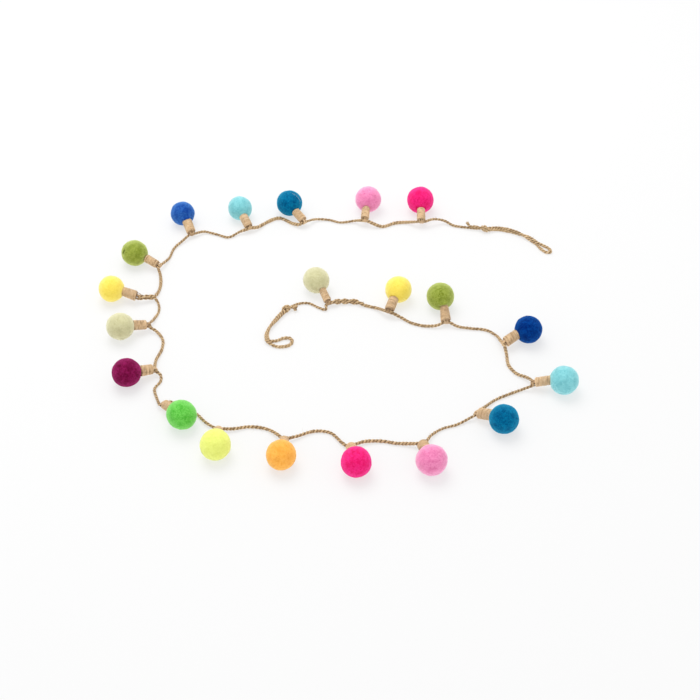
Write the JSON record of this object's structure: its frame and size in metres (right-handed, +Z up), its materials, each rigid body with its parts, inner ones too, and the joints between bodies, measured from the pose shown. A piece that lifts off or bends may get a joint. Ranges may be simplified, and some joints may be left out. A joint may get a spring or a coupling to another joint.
{
  "type": "felted ball garland",
  "caption": "String of felted wool balls with jute-wound necks, like light bulbs, tied along a jute twine that lies in a loose spiral, with a knotted hanging loop at each end.",
  "frame": {"origin": "on the surface that the garland lies on, under the middle of the box round its balls and necks", "axes": "+Z up; +X along the longer side of the spiral, towards its outer twine end; +Y towards the row of balls that starts at that end"},
  "size_m": [0.5157, 0.4445, 0.0316],
  "materials": {
    "wool_hot_pink": "matt felted wool with a short soft fuzz",
    "wool_orchid": "matt felted wool with a short soft fuzz",
    "wool_teal": "matt felted wool with a short soft fuzz",
    "wool_turquoise": "matt felted wool with a short soft fuzz",
    "wool_royal": "matt felted wool with a short soft fuzz",
    "wool_cobalt": "matt felted wool with a short soft fuzz",
    "wool_olive": "matt felted wool with a short soft fuzz",
    "wool_yellow": "matt felted wool with a short soft fuzz",
    "wool_sage": "matt felted wool with a short soft fuzz",
    "wool_plum": "matt felted wool with a short soft fuzz",
    "wool_green": "matt felted wool with a short soft fuzz",
    "wool_neon": "matt felted wool with a short soft fuzz",
    "wool_orange": "matt felted wool with a short soft fuzz",
    "jute_yarn": "fine pale jute yarn, wound turn beside turn",
    "jute_twine": "two-ply natural jute twine with stray fibres"
  },
  "bodies": {
    "root": {"ball_01_hot_pink": "wool_hot_pink", "neck_01": "jute_yarn", "ball_02_orchid": "wool_orchid", "neck_02": "jute_yarn", "ball_03_teal": "wool_teal", "neck_03": "jute_yarn", "ball_04_turquoise": "wool_turquoise", "neck_04": "jute_yarn", "ball_05_royal": "wool_royal", "neck_05": "jute_yarn", "ball_06_olive": "wool_olive", "neck_06": "jute_yarn", "ball_07_yellow": "wool_yellow", "neck_07": "jute_yarn", "ball_08_sage": "wool_sage", "neck_08": "jute_yarn", "ball_09_plum": "wool_plum", "neck_09": "jute_yarn", "ball_10_green": "wool_green", "neck_10": "jute_yarn", "ball_11_neon": "wool_neon", "neck_11": "jute_yarn", "ball_12_orange": "wool_orange", "neck_12": "jute_yarn", "ball_13_hot_pink": "wool_hot_pink", "neck_13": "jute_yarn", "ball_14_orchid": "wool_orchid", "neck_14": "jute_yarn", "ball_15_teal": "wool_teal", "neck_15": "jute_yarn", "ball_16_turquoise": "wool_turquoise", "neck_16": "jute_yarn", "ball_17_cobalt": "wool_cobalt", "neck_17": "jute_yarn", "ball_18_olive": "wool_olive", "neck_18": "jute_yarn", "ball_19_yellow": "wool_yellow", "neck_19": "jute_yarn", "ball_20_sage": "wool_sage", "neck_20": "jute_yarn", "twine": "jute_twine"}
  },
  "joints": []
}
